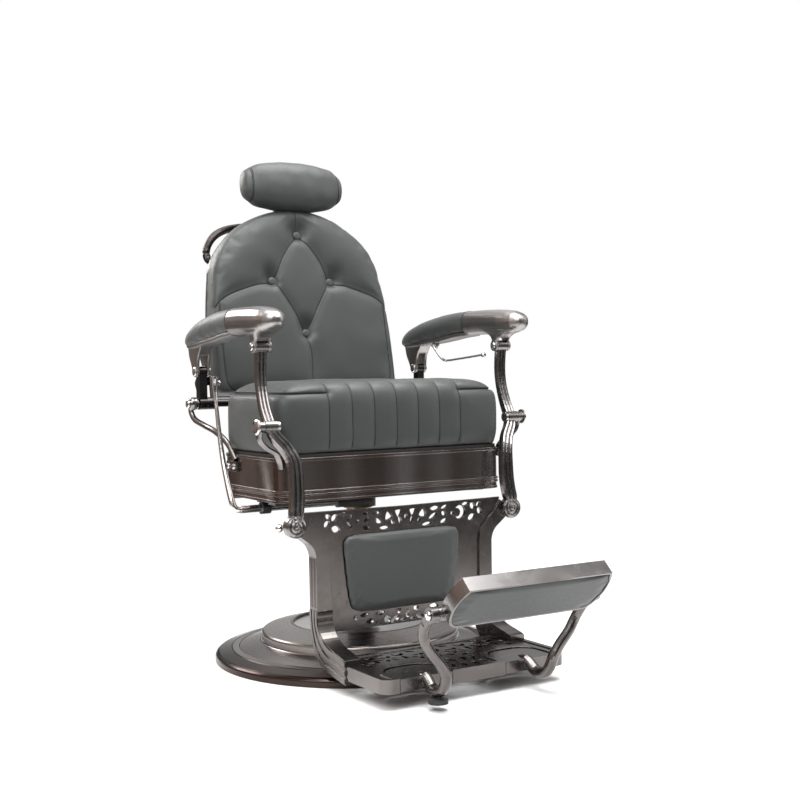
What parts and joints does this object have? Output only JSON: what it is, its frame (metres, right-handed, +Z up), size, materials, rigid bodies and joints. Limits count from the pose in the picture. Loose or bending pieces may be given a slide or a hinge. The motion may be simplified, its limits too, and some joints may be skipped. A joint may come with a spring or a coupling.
{
  "type": "hydraulic barber chair",
  "caption": "Antique-style hydraulic barber chair: pump column, reclining back linked to openwork leg frame and armrests, flip footrest, headrest.",
  "frame": {"origin": "centre of the round base on the floor", "axes": "+Z up, the sitter faces -Y, +X is at the sitter's left"},
  "size_m": [0.672, 1.0649, 1.1566],
  "materials": {
    "gunmetal": "dark polished castings, gunmetal plated",
    "dark_metal": "dark glossy paint",
    "bright": "polished",
    "black_paint": "satin black",
    "leather": "dark grey upholstery, soft sheen",
    "board": "plywood stained black",
    "bronze": "oiled bearing bronze",
    "rubber": "matt black"
  },
  "bodies": {
    "base": {"base_plate": "dark_metal", "base_ring": "dark_metal", "base_cover": "gunmetal", "collar_plate": "bright", "pump_cylinder": "black_paint", "guide_bush": "bronze"},
    "ram": {"ram": "bright", "piston": "rubber"},
    "seat": {"thrust_washer": "bronze", "pump_head": "black_paint", "seat_mount": "black_paint", "seat_box": "gunmetal", "seat_board": "board", "seat_cushion": "leather", "front_bracket_l": "gunmetal", "front_bracket_r": "gunmetal", "rear_bracket_l": "gunmetal", "rear_bracket_r": "gunmetal", "front_pivot_bolts": "bright", "rear_pivot_bolts": "bright", "bracket_screws": "bright", "mount_bolts": "bright", "lever_bearing": "black_paint", "strut_cylinder": "black_paint", "strut_pin": "bright"},
    "lever": {"hand_lever": "bright", "lever_stud": "bright"},
    "back": {"back_bar_l": "dark_metal", "back_bar_r": "dark_metal", "back_yoke": "dark_metal", "back_shell": "gunmetal", "back_cushion": "leather", "back_buttons": "leather", "back_rail": "dark_metal", "rear_arm_pins": "bright", "headrest_socket": "gunmetal"},
    "knob": {"socket_knob": "dark_metal"},
    "headrest": {"headrest_post": "bright"},
    "headpad": {"headrest_plate": "dark_metal", "headrest_cushion": "leather"},
    "leg": {"s_arm_l": "gunmetal", "s_arm_r": "gunmetal", "leg_frame": "gunmetal", "leg_pad": "leather", "leg_bolts": "bright", "footplate": "gunmetal", "hinge_pins": "bright", "front_arm_pins": "bright"},
    "footrest": {"footrest_arm_l": "gunmetal", "footrest_arm_r": "gunmetal", "foot_stop": "rubber"},
    "footpad": {"foot_pad_tray": "gunmetal", "foot_pad_cushion": "leather", "foot_pad_bolts": "bright"},
    "arm_l": {"armrest_l": "gunmetal", "arm_pad_l": "leather"},
    "arm_r": {"armrest_r": "gunmetal", "arm_pad_r": "leather"},
    "release": {"release_wire": "bright"},
    "rod": {"strut_rod": "bright"}
  },
  "joints": [
    {"name": "lift", "type": "slide", "parent": "base", "child": "ram", "axis": [0, 0, 1], "range_m": [0, 0.15]},
    {"name": "swivel", "type": "hinge", "parent": "ram", "child": "seat", "pos_m": [0, 0, 0.332], "axis": [0, 0, 1], "continuous": true},
    {"name": "pump_lever", "type": "hinge", "parent": "seat", "child": "lever", "pos_m": [0, -0.036, 0.35], "axis": [-1, 0, 0], "range_deg": [-20, 20]},
    {"name": "recline", "type": "hinge", "parent": "seat", "child": "back", "pos_m": [0, 0.19, 0.571], "axis": [-1, 0, 0], "range_deg": [0, 45]},
    {"name": "leg_swing", "type": "hinge", "parent": "seat", "child": "leg", "pos_m": [0, -0.179, 0.529], "axis": [-1, 0, 0], "range_deg": [0, 19.5]},
    {"name": "armrest_l_link", "type": "hinge", "parent": "leg", "child": "arm_l", "pos_m": [-0.302, -0.143, 0.691], "axis": [-1, 0, 0], "range_deg": [-19.8, 0]},
    {"name": "armrest_r_link", "type": "hinge", "parent": "leg", "child": "arm_r", "pos_m": [0.302, -0.143, 0.691], "axis": [-1, 0, 0], "range_deg": [-19.8, 0]},
    {"name": "strut_slide", "type": "slide", "parent": "seat", "child": "rod", "axis": [0, 0.4618, 0.887], "range_m": [-0.08, 0]},
    {"name": "footrest_swing", "type": "hinge", "parent": "leg", "child": "footrest", "pos_m": [0, -0.404, 0.046], "axis": [-1, 0, 0], "range_deg": [0, 50]},
    {"name": "foot_pad_flip", "type": "hinge", "parent": "footrest", "child": "footpad", "pos_m": [0, -0.588, 0.199], "axis": [-1, 0, 0], "range_deg": [0, 140]},
    {"name": "headrest_slide", "type": "slide", "parent": "back", "child": "headrest", "axis": [0, 0.1633, 0.9866], "range_m": [0, 0.12]},
    {"name": "headrest_tilt", "type": "hinge", "parent": "headrest", "child": "headpad", "pos_m": [0, 0.36635, 1.08533], "axis": [-1, 0, 0], "range_deg": [0, 35]},
    {"name": "clamp_knob", "type": "hinge", "parent": "back", "child": "knob", "pos_m": [0, 0.35438, 0.94997], "axis": [0, 0.9866, -0.1633], "range_deg": [-90, 90]},
    {"name": "release_pull", "type": "hinge", "parent": "arm_r", "child": "release", "pos_m": [0.275, 0.086, 0.6964], "axis": [-1, 0, 0], "range_deg": [0, 8], "stiffness_Nm_per_rad": 0.6}
  ],
  "couplings": [
    {"joint": "leg_swing", "follows": "recline", "ratio": 0.428},
    {"joint": "armrest_l_link", "follows": "recline", "ratio": -0.434},
    {"joint": "armrest_r_link", "follows": "recline", "ratio": -0.434},
    {"joint": "strut_slide", "follows": "recline", "m_per_rad": -0.101}
  ]
}
